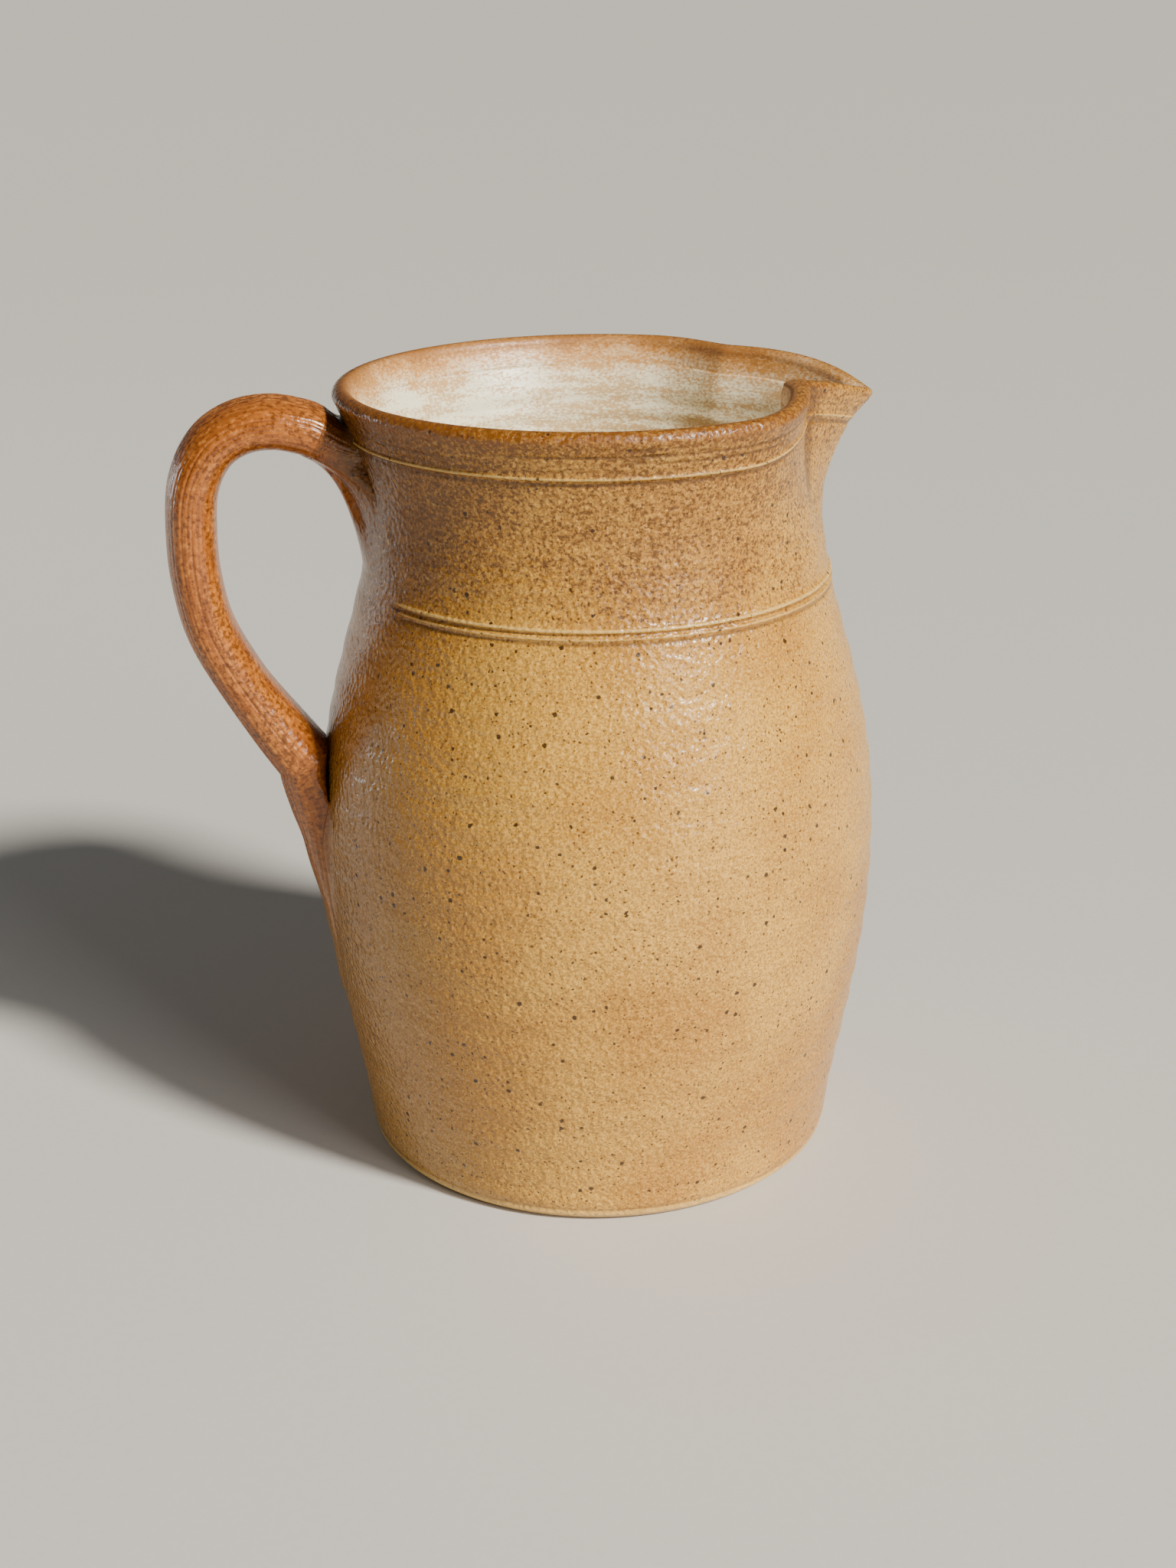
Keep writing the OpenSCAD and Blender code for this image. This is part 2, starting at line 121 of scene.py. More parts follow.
def wall_r(h):
    h = np.asarray(h, float)
    heel = mix(foot_r, heel_r, np.sqrt(1 - (1 - span(h, 0, heel_h)) ** 2))
    belly = mix(heel_r, belly_r, np.sin(np.pi / 2 * span(h, heel_h, belly_h)) ** body_fullness)
    shoulder = mix(belly_r, neck_r, ease(span(h, belly_h, neck_h) ** shoulder_lean))
    flare = mix(neck_r, rim_r, span(h, neck_h, jug_h) ** flare_power)
    return np.select([h < heel_h, h < belly_h, h < neck_h], [heel, belly, shoulder], flare)

def inner_r(h):
    corner = span(h, floor_t, floor_t + floor_round)
    return wall_r(h) - wall_t - floor_round * (1 - np.sqrt(1 - (1 - corner) ** 2))

print("wall radius at foot, belly, neck, rim:", wall_r([0, belly_h, neck_h, jug_h]))

# %% [markdown]
# The lip is pulled by hand. Two fingers hold the rim from outside, at the throats, while a third
# draws the clay between them out and down. The near throat is pinched tight and stands higher,
# and the far side was drawn out softly. So the wall shifts outward by a beak-shaped share of the
# angle, shifts inward at the throats, and rises or sags a little. All of it fades down the neck.
# On the other side the wet handle pulled the neck and the rim a little out of round, towards it.

# %% The pulled lip
# Angles from the lip's middle, in degrees
lip_spread, near_throat, far_throat, beak_soft = 65, 20.0, 40.0, 1.2
# Shifts of the wall, in millimetres
lip_reach, near_tuck, far_tuck = 9.6, 13.0, 6.0
throat_rise, keel_sag, throat_squeeze, tip_squeeze = 4.6, 1.6, 3.1, 4.8
# Heights between which they fade, and powers of the fades and of the beak's own curve
tuck_base_h, keel_base_h, keel_full_h = jug_h - 52, jug_h - 70, jug_h - 6
tuck_power, keel_power, rise_power = 1.35, 1.7, 1.3
beak_power, far_beak_power, far_droop_power = 1.4, 1.0, 3.0

def on_side(a, near, far): return np.where(np.asarray(a) > 0, far, near)
def throat_of(a): return on_side(a, near_throat, far_throat)
def tuck_share(a): return ease((lip_spread - np.abs(a)) / (lip_spread - throat_of(a)))
def beak_share(a):
    soft = np.sqrt(np.asarray(a) ** 2 + beak_soft ** 2) - beak_soft
    return clamp(1 - soft / throat_of(a)) ** on_side(a, beak_power, far_beak_power)
def droop_share(a): return beak_share(a) ** on_side(a, 1.0, far_droop_power)
def rise_share(a): return on_side(a, tuck_share(a), 0.0)

def lip_shift(a, h):
    tuck = on_side(a, near_tuck, far_tuck) * tuck_share(a) * span(h, tuck_base_h, jug_h) ** tuck_power
    keel = span(h, keel_base_h, keel_full_h) ** keel_power
    return lip_reach * beak_share(a) * keel - tuck * (1 - beak_share(a))

def lip_lift(a, h):
    rise = mix(throat_rise * rise_share(a), -keel_sag, droop_share(a))
    squeeze = mix(throat_squeeze * rise_share(a), tip_squeeze, droop_share(a))
    return rise * span(h, tuck_base_h, rim_line_h) ** rise_power - squeeze * span(h, rim_line_h, jug_h)

handle_pull, pull_base_h, pull_full_h = 1.2, jug_h - 60, jug_h - 35
def pull_at(h): return handle_pull * ease(span(h, pull_base_h, pull_full_h))

def wall_point(a, h, r):
    a, h, r = np.broadcast_arrays(a, h, r)
    turn = np.radians(a)
    out = r + lip_shift(a, h) + pull_at(h) * np.maximum(-np.cos(turn), 0) ** 2
    return np.stack([out * np.cos(turn), out * np.sin(turn), h + lip_lift(a, h)], axis=-1)

print("tip of the lip:", np.round(wall_point(0, jug_h, rim_r), 1))

# %% [markdown]
# The potter's tools leave marks on the outside: a raised line under the rim, shallow grooves
# above it, a double line at the shoulder that the joint clay covers at the handle, a faint line
# on the neck, soft throwing rings on the belly and a small roll of clay at the foot. Beside the
# near throat the wall creased where the lip was pulled, a finger nicked the rim, and a thumb left
# short ridges by the handle. All of it is real shape, so it moves the wall in or out by tenths of
# a millimetre. Marks finer than the rows of the mesh stay for the bump of the glaze.

# %% Tool marks on the outside
# Turned lines: height, how proud, with grooves below 0, half width, and whether it is uneven
lower_line_h, foot_roll_h = shoulder_line_h - shoulder_line_gap, 2.4
RIM_LINES = ((rim_line_h, 0.75, 0.55, True), (rim_line_h - 1.7, -0.34, 0.8, False))
SHOULDER_LINES = ((shoulder_line_h, 0.72, 0.65, False), (lower_line_h, 0.55, 0.5, True),
                  (lower_line_h + shoulder_line_gap / 2, -0.30, 0.5, False),
                  (lower_line_h - 1.5, -0.30, 0.8, False))
NECK_LINES = ((209, 0.20, 0.7, False),)
FOOT_LINES = ((foot_roll_h, 0.38, 0.9, False), (foot_roll_h + 1.8, -0.20, 0.9, False))
# The shoulder's lines run out at this angle, over so many degrees, where the joint clay lies
line_end, line_fade = 160, 12

def lines_of(table, a, h):
    firm = 0.88 + 0.14 * wander(np.radians(a), 11)
    return sum(proud * (firm if uneven else 1) * ridge(h - height, half_w)
               for height, proud, half_w, uneven in table)

def turned_lines(a, h):
    shoulder = lines_of(SHOULDER_LINES, a, h) * ease((line_end - np.abs(a)) / line_fade)
    neck = lines_of(NECK_LINES, a, h) * ease(0.5 + 0.9 * wander(np.radians(a), 12))
    return lines_of(RIM_LINES, a, h) + shoulder + neck + lines_of(FOOT_LINES, a, h)

# Shallow grooves over the rim line: depth below the crest, depth in the wall, seed of its wander
RIM_GROOVES = ((4.9, 0.16, 21), (7.2, 0.34, 22), (9.4, 0.30, 23), (11.6, 0.18, 24))
groove_half_w = 0.62
def rim_grooves(a, h):
    turn, calm = np.radians(a), 1 - 0.85 * beak_share(a)
    grooves = 0
    for drop, depth, seed in RIM_GROOVES:
        uneven = depth * (0.7 + 0.4 * wander(turn, seed))
        grooves = grooves - uneven * ridge(jug_h - h - drop, groove_half_w)
    return grooves * calm

# Throwing rings, fine and slow: how high they stand and how far apart they lie
fine_high, fine_pitch, slow_high, slow_pitch = 0.07, 3.4, 0.16, 11.5
def throwing_rings(a, h):
    turn = np.radians(a)
    fine = fine_high * np.sin(2 * np.pi * h / fine_pitch + turn + 2 * wander(turn, 31, 3))
    slow = slow_high * np.sin(2 * np.pi * h / slow_pitch + turn + wander(h / 40, 32, 5))
    fine = fine * (0.4 + 0.6 * ridge(h - 30, 35))
    return (fine + slow) * span(h, 3, 14) * (1 - span(h, 180, 236))

# Small nicks that a finger left on the rim band: angle, height, length along the rim, depth
NICKS = ((-90.3, 244.6, 4.6, 0.42), (-88.2, 242.8, 5.2, 0.40), (-91.0, 241.2, 4.0, 0.28))
def nicks(a, h):
    cut = 0
    for angle, height, length, depth in NICKS:
        along = (a - angle) * np.pi / 180 * rim_r
        cut = cut - depth * ridge(along, length) * ridge(h - height - 0.06 * along, 0.6)
    return cut

# Short ridges that the thumb left by the joint clay: angle, height, lean, length, how high
SMEARS = ((-160.5, 211.5, 0.75, 4.2, 0.55), (-162.5, 207.0, 0.70, 4.5, 0.45),
          (-158.0, 205.5, 0.85, 3.0, 0.35), (161.5, 208.0, -0.75, 4.5, 0.45))
def smears(a, h):
    raised = 0
    for angle, height, lean_here, length, high in SMEARS:
        along, down = (a - angle) * np.pi / 180 * neck_r, height - h
        raised = raised + high * ridge(along - down * lean_here, 0.9) * ridge(down, length)
    return raised

# The crease beside the near throat: how deep, at which angle, how many degrees wide
fold_depth, fold_angle, fold_spread = 0.8, -22.5, 4.4
def fold(a, h):
    down_neck = ease(span(h, 204, 236)) * (1 - 0.6 * span(h, 242, jug_h))
    return -fold_depth * ridge(a - fold_angle, fold_spread) * down_neck

def outer_marks(a, h):
    return turned_lines(a, h) + rim_grooves(a, h) + nicks(a, h) + smears(a, h) + fold(a, h)

print("rim line stands", round(float(outer_marks(90, rim_line_h)), 2), "mm proud")

# %% [markdown]
# A mesh that is fine everywhere would be huge, so rows are close together only across the turned
# lines and the rim, and columns only round the lip. Both lists are built once, and every later
# ring of the pot uses the same columns, so its rings join without gaps.

# %% Rows and columns
def rows(*pieces):
    """Heights in stretches, each given as its lowest, its highest and how many rows."""
    return np.unique(np.concatenate([np.linspace(low, high, count) for low, high, count in pieces]))

outer_h = rows((0, 5, 15), (5, 10, 6), (10, 186, 82), (186, 195, 31), (195, 207.5, 11),
               (207.5, 210.5, 8), (210.5, 233, 18), (233, jug_h - crest_round, 44))

# Columns crowd at the tip, within 7 degrees, and more loosely over the whole lip, within 48
density_at = np.linspace(-180, 180, 7201)
density = 1 + 2.4 * ridge(density_at, 7) + 1.3 * ridge(density_at, 48) ** 2
share_passed = np.concatenate([[0], np.cumsum((density[1:] + density[:-1]) / 2)])
COLUMNS = 376
columns = np.interp(np.arange(COLUMNS) / COLUMNS * share_passed[-1], share_passed, density_at)
print(len(outer_h), "rows and", COLUMNS, "columns on the outside")

# %% [markdown]
# Every piece of this pitcher is a closed skin over rings of points with one point at each end.
# One helper builds it. It also writes what it is told about each point as an attribute, such as
# how high a ridge stands there, which the finish reads later. Faces at a flat end are shaded flat.

# %% A skin over rings
def make_skin(name, rings, first, last, marks, flat_ends=(False, False)):
    count, sides = rings.shape[:2]
    points = np.vstack([rings.reshape(-1, 3), [first], [last]]) * MM
    j = np.arange(sides)
    k = (j + 1) % sides
    quads = np.vstack([np.column_stack([low + j, low + k, low + sides + k, low + sides + j])
                       for low in range(0, (count - 1) * sides, sides)])
    last_low = (count - 1) * sides
    start = np.column_stack([np.full(sides, count * sides), k, j])
    end = np.column_stack([np.full(sides, count * sides + 1), last_low + j, last_low + k])
    corners = points[quads]
    volume = (np.einsum("ij,ij->i", corners[:, 0], np.cross(corners[:, 1], corners[:, 2])).sum()
              + np.einsum("ij,ij->i", corners[:, 0], np.cross(corners[:, 2], corners[:, 3])).sum())
    faces = [list(map(int, face)) for part in (quads, start, end) for face in part]
    if volume < 0:
        faces = [face[::-1] for face in faces]
    mesh = bpy.data.meshes.new(name)
    mesh.from_pydata(points.tolist(), [], faces)
    smooth = np.ones(len(faces), bool)
    smooth[len(quads):len(quads) + sides] = not flat_ends[0]
    smooth[len(quads) + sides:] = not flat_ends[1]
    mesh.polygons.foreach_set("use_smooth", smooth)
    for mark, values in marks.items():
        values = np.asarray(values, float)
        is_vector = values.ndim == 3
        kept = mesh.attributes.new(mark, "FLOAT_VECTOR" if is_vector else "FLOAT", "POINT")
        flat = values.reshape(-1, 3) if is_vector else values.reshape(-1)
        kept.data.foreach_set("vector" if is_vector else "value",
                              np.concatenate([flat, flat[:1], flat[-1:]]).ravel())
    mesh.update()
    piece = bpy.data.objects.new(name, mesh)
    bpy.context.scene.collection.objects.link(piece)
    print(name, "has", len(points), "points and", len(faces), "faces")
    return piece

# %% [markdown]
# The pot's skin runs up the outside, over the rim, down the inside and across the floor. The
# inside needs few rows, because the liner glaze covers it. On the near side the throat's inner
# edge rolls inward where the finger pressed against it, so that fold gets a little extra clay,
# and the stretched edge of the lip beside it is thinner than the rest of the rim.

# %% The thrown pot
# The inward roll: how far in, its middle height, and its half sizes in degrees and in height
roll_in, roll_h, roll_spread, roll_tall = 3.2, jug_h - 6, 7, 9
def throat_roll(a, h):
    return roll_in * ridge(a + near_throat, roll_spread) * ridge(h - roll_h, roll_tall)

# The stretched edge: how much thinner, from which angle, to which, and how many degrees it fades
edge_thinned, edge_from, edge_to, edge_fade = 2.6, -19, 6, 8
def stretched_edge(a):
    return edge_thinned * ease((a - edge_from) / edge_fade) * ease((edge_to - a) / edge_fade)

outer_marked = outer_marks(columns[None, :], outer_h[:, None])
outer_skin = wall_point(columns[None, :], outer_h[:, None],
                        wall_r(outer_h)[:, None] + outer_marked
                        + throwing_rings(columns[None, :], outer_h[:, None]))

crest_turn = np.radians(np.linspace(0, 180, 19)[1:-1])[:, None]
crest_h = jug_h - crest_round * (1 - np.sin(crest_turn))
crest_t = wall_t - stretched_edge(columns[None, :])
crest_r = wall_r(jug_h - crest_round) - crest_t / 2 * (1 - np.cos(crest_turn))
rolled_in = throat_roll(columns[None, :], crest_h) * (1 - np.cos(crest_turn)) / 2
crest_skin = wall_point(columns[None, :], crest_h, crest_r - rolled_in)

corner_h = floor_t + floor_round
inner_h = np.concatenate([np.linspace(jug_h - crest_round, jug_h - 11, 10),
                          np.linspace(jug_h - 15, corner_h, 20),
                          floor_t + floor_round * np.array([0.6, 0.3, 0.1, 0])])
def inside_point(a, h, inset=0):
    thinned = stretched_edge(a) * span(h, 232, jug_h - crest_round)
    return wall_point(a, h, inner_r(h) - throat_roll(a, h) + thinned - inset)
inner_skin = inside_point(columns[None, :], inner_h[:, None])

# The foot is a hair hollow underneath and stands on the ring between the last two radii
FOOT_RINGS = ((20, 0.7), (60, 0.6), (66, 0.2), (68, 0.0), (71, 0.0))
turns = np.radians(columns)
def flat_ring(r, h):
    return np.stack([r * np.cos(turns), r * np.sin(turns), np.full(COLUMNS, h)], axis=-1)
floor_skin = np.stack([flat_ring(inner_r(floor_t) * s, floor_t) for s in (0.6, 0.25)])
under_skin = np.stack([flat_ring(r, h) for r, h in FOOT_RINGS])

pot_rings = np.concatenate([under_skin, outer_skin, crest_skin, inner_skin, floor_skin])
outer_from = len(under_skin)
outer_to = outer_from + len(outer_h)
relief = np.zeros(pot_rings.shape[:2])
relief[outer_from:outer_to] = outer_marked
inside = np.zeros(pot_rings.shape[:2])
inside[outer_to:] = 1
inside[outer_to:outer_to + len(crest_skin)] = (1 - np.cos(crest_turn)) / 2
pot = make_skin("pot", pot_rings, (0, 0, 0.7), (0, 0, floor_t), {"relief": relief, "inside": inside})
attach(pot, "root")
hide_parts("thrown_pot")

# %% [markdown]
# The inside was lined with a pale slip glaze, poured in, turned and poured out. It is a thin coat
# that follows the throwing rings of the inside, and it thins to nothing just under the rim. It is
# built as its own thin shell, a hair proud of the wall, so its edge is a real edge.

# %% The liner glaze
liner_t, liner_top_h = 0.5, jug_h - 8
# Room for its rings over the wall, how far its back and its thin edge lie under the wall's face,
# and the height over which that edge thickens
ring_room, back_under, edge_under, edge_rise = 0.3, 0.4, 0.08, 7
def inner_rings(a, h):
    turn = np.radians(a)
    deep = 0.30 * np.sin(2 * np.pi * h / 7.2 + turn + wander(h / 30, 41, 5))
    fine = 0.08 * np.sin(2 * np.pi * h / 2.3 + 2 * turn)
    under_rim = 1 - span(h, liner_top_h - 10, liner_top_h)
    return (deep + fine) * span(h, 12, 60) * (1 - 0.6 * beak_share(a)) * under_rim

# Rows lie close together down to this height
liner_fine_h = 60
liner_h = np.concatenate([np.linspace(liner_top_h, liner_fine_h, 118),
                          np.linspace(liner_fine_h - 2, corner_h, 12),
                          floor_t + floor_round * np.array([0.8, 0.62, 0.45, 0.3, 0.18, 0.1, 0.04, 0])])
liner_columns = columns[::2]
back_h = liner_h[::-6]
back = inside_point(liner_columns[None, :], back_h[:, None], -back_under)
thin = ease((liner_top_h - liner_h) / edge_rise)[:, None]
low = span(liner_h, corner_h, floor_t)[:, None]
face = inside_point(liner_columns[None, :], liner_h[:, None],
                    (liner_t + ring_room) * thin * (1 - low) - edge_under * (thin < 0.01)
                    - inner_rings(liner_columns[None, :], liner_h[:, None]) * thin * 0.9)
face[..., 2] += liner_t * low
def liner_floor(share, level):
    r, turn = inner_r(floor_t) * share, np.radians(liner_columns)
    return np.stack([r * np.cos(turn), r * np.sin(turn), np.full(len(turn), level)], axis=-1)
swirl = np.linspace(0.96, 0.06, 22)
floor_face = np.stack([liner_floor(s, floor_t + liner_t + 0.12 * np.sin(s * 40)) for s in swirl])
liner_rings = np.concatenate([back, face, floor_face])
liner = make_skin("liner", liner_rings, (0, 0, floor_t - back_under), (0, 0, floor_t + liner_t), {})
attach(liner, "root")
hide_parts("liner_glaze")

# %% [markdown]
# The handle was pulled from a lump of clay with a wet hand and drawn through a ribbed die, so it
# has fine ribs along its whole length. Its middle line is a smooth curve through marks measured
# along the arch. Its cross-section is a rounded oblong, and sampling that section at equal steps
# of length keeps the ribs equally sharp on its flat and its round sides.

# %% The strap's middle line and section
strap_w, strap_t, handle_reach = 27.0, 15.5, 124.0
tail_h, tail_end_h, tail_t, tail_press_w, tail_edge = 139.0, 52.0, 18.0, 15.5, 0.8
root_drop, root_stand, arch_drop, tail_lean = 12.8, 9.4, 9.0, math.radians(30)
root_h, arch_h = jug_h - root_drop, jug_h - arch_drop
root_d = float(wall_r(root_h)) + handle_pull + root_stand
# Marks on the arch: share of the way out to the reach, and up to the arch's top
ARCH = ((0.10, 0.981), (0.342, 1), (0.60, 0.986), (0.818, 0.930), (0.962, 0.822), (1, 0.667),
        (0.980, 0.525), (0.894, 0.377), (0.69, 0.219), (0.473, 0.088))
tail_start = (float(wall_r(tail_h)) + tail_t / 2 * math.cos(tail_lean),
              tail_h - tail_t / 2 * math.sin(tail_lean))
on_arch = [(mix(root_d, handle_reach, s), mix(tail_h, arch_h, t)) for s, t in ARCH]
handle_marks = np.array([(root_d, root_h)] + on_arch + [tail_start])
ends = np.vstack([2 * handle_marks[0] - handle_marks[1], handle_marks,
                  2 * handle_marks[-1] - handle_marks[-2]])

def flow(i, u):
    a, b, c, d = ends[i:i + 4]
    return (b + (c - a) * u / 2 + (2 * a - 5 * b + 4 * c - d) * u ** 2 / 2
            + (3 * b - a - 3 * c + d) * u ** 3 / 2)

STEPS = 13
spine = np.array([flow(i, k / STEPS) for i in range(len(handle_marks) - 1) for k in range(STEPS)])
way = np.gradient(np.vstack([spine, [tail_start]]), axis=0)[:-1]
way /= np.linalg.norm(way, axis=1)[:, None]
spine_run = np.concatenate([[0], np.cumsum(np.linalg.norm(np.diff(spine, axis=0), axis=1))])

squareness = 2.5
def soft(u): return np.sign(u) * np.abs(u) ** (2 / squareness)
fine_turn = np.linspace(0, 2 * np.pi, 7201)
fine_edge = np.column_stack([soft(np.cos(fine_turn)) * strap_w / 2,
                             soft(np.sin(fine_turn)) * strap_t / 2])
edge_run = np.concatenate([[0], np.cumsum(np.linalg.norm(np.diff(fine_edge, axis=0), axis=1))])
SIDES = 300
around = np.interp(np.arange(SIDES) / SIDES * edge_run[-1], edge_run, fine_turn)
section = np.column_stack([soft(np.cos(around)), soft(np.sin(around))])
print("strap:", round(float(spine_run[-1])), "mm along,", round(float(edge_run[-1]), 1), "mm round")

# %% [markdown]
# The ribs are what is left between the cuts of the die. Each cut has its own place, depth and
# width from a seeded list, and all of them sway a little along the strap, as wet clay does. They
# are deepest on the back and gone on the inside of the grip, where the hand slid.

# %% Ribs along the strap
rib_rng = np.random.default_rng(5)
pitch = rib_rng.uniform(1.2, 2.3, size=46)
cuts = np.cumsum(pitch)
cuts = cuts[cuts < edge_run[-1] - 0.8]
cut_depth = 0.12 + 0.26 * rib_rng.uniform(size=len(cuts)) ** 1.5
cut_width = rib_rng.uniform(0.26, 0.46, size=len(cuts))
on_back = 0.08 + 0.92 * ease((section[:, 1] + 0.75) / 0.9)

def ribs(run):
    """Depth of the cuts at each point round the strap, at a distance along it."""
    place = np.arange(SIDES) / SIDES * edge_run[-1]
    sway = 0.5 * math.sin(run / 47) + 0.3 * math.sin(run / 19 + 1)
    total = np.zeros(SIDES)
    for at, depth, width in zip(cuts, cut_depth, cut_width):
        away = (place - at - sway + edge_run[-1] / 2) % edge_run[-1] - edge_run[-1] / 2
        total += depth * (0.8 + 0.3 * math.sin(run / 31 + at * 3)) * ridge(away, width)
    return total * on_back

# The way a cut goes in: square to the rounded section, from its formula
steep = np.sign(section) * np.abs(section) ** (squareness - 1)
edge_normal = steep / np.array([strap_w, strap_t])
edge_normal /= np.linalg.norm(edge_normal, axis=1)[:, None]
print(len(cuts), "cuts, up to", round(float(cut_depth.max()), 2), "mm deep")

# %% [markdown]
# The strap stands across its middle line as far as the grip goes, is a little wider lower down
# and thickens towards the tail. Its lower end lies on the belly: there each ring is laid against
# the wall, thins out downwards and spreads where fingers pressed it on. The pressed tail has
# three soft finger dents.

# %% Rings of the strap
end_swell, thicken_rings = 0.1, 26
ring_number = np.arange(len(spine))
swell = 1 + end_swell * np.maximum(2 * ring_number / (len(spine) - 1) - 1, 0) ** 4
thickness = mix(strap_t, tail_t, ease((ring_number - len(spine)) / thicken_rings + 1))
def strap_ring(i):
    depth = ribs(spine_run[i])
    y = section[:, 0] * strap_w / 2 * swell[i] - edge_normal[:, 0] * depth
    n = section[:, 1] * thickness[i] / 2 - edge_normal[:, 1] * depth
    out = (-way[i, 1], way[i, 0])
    return np.column_stack([-(spine[i, 0] + out[0] * n), y, spine[i, 1] + out[1] * n]), depth

def face_x(y, h):
    out = wall_r(h) + pull_at(h) * np.maximum(1 - (y / wall_r(h)) ** 2, 0)
    return -np.sqrt(np.maximum(out ** 2 - y ** 2, 0))
# Powers of the tail's curves: how it thins, how round its tip is and how its lean fades
tail_thin_power, tail_round_power, tail_lean_power = 2.1, 6, 3
def tail_high(u): return np.maximum(tail_t * (1 - u) ** tail_thin_power, tail_edge)
def tail_half_w(u):
    pressed = mix(strap_w / 2 * (1 + end_swell), tail_press_w, ease(u / press_widest))
    return pressed * np.sqrt(1 - u ** tail_round_power)

# Finger dents in the tail: share of the way down it, length as a share, depth
DENTS = ((0.34, 0.07, 0.5), (0.60, 0.08, 0.6), (0.82, 0.06, 0.4))
# Shares of the tail where its underside has been pressed flat, and where it is pressed widest
press_flat, press_widest = 0.25, 0.6
def tail_ring(u):
    lean_here = tail_lean * (1 - u) ** tail_lean_power
    run = spine_run[-1] + u * (tail_h - tail_end_h)
    depth = ribs(run) * (1 - ease(u * 1.1)) * (section[:, 1] > -0.2)
    half_w, thick, h = tail_half_w(u), tail_high(u), mix(tail_h, tail_end_h, u)
    y = section[:, 0] * half_w
    n = mix((section[:, 1] + 1) / 2, np.maximum(section[:, 1], 0), ease(u / press_flat)) * thick
    dents = sum(deep * ridge(u - middle, length) for middle, length, deep in DENTS)
    dents = dents * np.maximum(section[:, 1], 0) * ridge(section[:, 0] - 0.1, 0.7)
    n = n - (depth + dents) * clamp(n / 2.5)
    level = np.full(SIDES, h)
    sink = 0.35 * (section[:, 1] < 0) * ease(u / press_flat)
    x = face_x(y, level) - n * math.cos(lean_here) + sink
    return np.column_stack([x, y, level - n * math.sin(lean_here)]), depth

# Rings crowd towards the tail's tip by this power
tail_crowding = 1.6
tail_u = 1 - (1 - np.linspace(0, 1, 61)[:-1]) ** tail_crowding
made = [strap_ring(i) for i in range(len(spine))] + [tail_ring(u) for u in tail_u]
strap_rings = np.stack([ring for ring, _ in made])
strap_relief = -np.stack([depth for _, depth in made])
all_runs = np.concatenate([spine_run, spine_run[-1] + 5 + tail_u * (tail_h - tail_end_h)])

# The place on the strap that its finish reads: round it on a circle, and along it, in metres
edge_turn = 2 * np.pi * np.arange(SIDES) / SIDES
edge_r = edge_run[-1] / 2 / np.pi * MM
def strap_place(runs):
    place = np.empty((len(runs), SIDES, 3))
    place[..., 0], place[..., 1] = edge_r * np.cos(edge_turn), edge_r * np.sin(edge_turn)
    place[..., 2] = np.asarray(runs)[:, None] * MM
    return place

toward_pot = np.concatenate([np.zeros(len(spine)), ease((tail_u - 0.15) / 0.8)])
strap_marks = {"relief": strap_relief, "strap_place": strap_place(all_runs),
               "toward_pot": toward_pot[:, None] * np.ones(SIDES)}
strap = make_skin("strap", strap_rings, (-spine[0, 0], 0, spine[0, 1]),
                  (float(face_x(0, tail_end_h)), 0, tail_end_h), strap_marks, flat_ends=(True, False))
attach(strap, "root")
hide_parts("handle_strap")

# %% [markdown]
# At the neck the strap is joined with soft clay that a wet thumb wiped down the wall, in a fan
# that ends at the shoulder line. Its sides land beside the strap. Its underside runs down as a
# ridge that thins out and slopes gently to both sides, wider and wider. Each line of this skin
# starts on the strap's own edge and runs down to the fan's edge, so the ribs fade into the smears
# that the thumb left. Its rim lies just inside the wall, so that the clay comes out of the pot
# without a step.

# %% Joint clay at the neck
# The footprint's middle, how far it reaches up and down from there, and its half widths
root_mid_h, root_up, root_down = jug_h - 18.0, 8.5, 41.0
root_half_w, root_flare, root_spread = 13.5, 8.0, 28.0
flare_share, corner_roundness, fan_power, fan_drop_power = 0.35, 0.35, 3.3, 4
def fan_half_w(down):
    return root_half_w + root_flare * ease(down / flare_share) + root_spread * down ** fan_power

edge_wobble = 0.035 * wander(around, 51, 9, first=2)
down = np.maximum(-np.sin(around), 0) ** fan_drop_power
wobbly_half_w = fan_half_w(down) * (1 + 2 * edge_wobble * down)
root_y = np.sign(np.cos(around)) * np.abs(np.cos(around)) ** corner_roundness * wobbly_half_w
root_level = (root_mid_h + root_up * np.maximum(np.sin(around), 0)
              - root_down * down * (1 + edge_wobble))
first_ring, first_depth = strap_ring(0)
# Share by which a line belongs to the underside, and the height of the thumb's smears on it
under = ease((-np.sin(around) - 0.62) / 0.33)
smear = 0.55 * wander(around, 52, 9, first=5) + 0.25 * wander(around, 53, 12, first=14)

def fan_edge(h):
    low = np.clip((root_mid_h - h) / root_down, 0, 1)
    across = np.sqrt(1 - low ** (2 / fan_drop_power))
    return np.maximum(across ** corner_roundness * fan_half_w(low), root_half_w / 2)

# Powers by which the wiped clay thins out, and the steep one's share on the underside's ridge
wipe_power, wipe_hollow_power, wipe_side_power, wipe_hollow = 1.2, 9, 0.7, 0.3
def thinned(u):
    """Share of its first thickness that the clay still has, at a share of the way down."""
    ridge_left = mix((1 - u) ** wipe_power, (1 - u) ** wipe_hollow_power, wipe_hollow)
    return mix((1 - u) ** wipe_side_power, ridge_left, under)

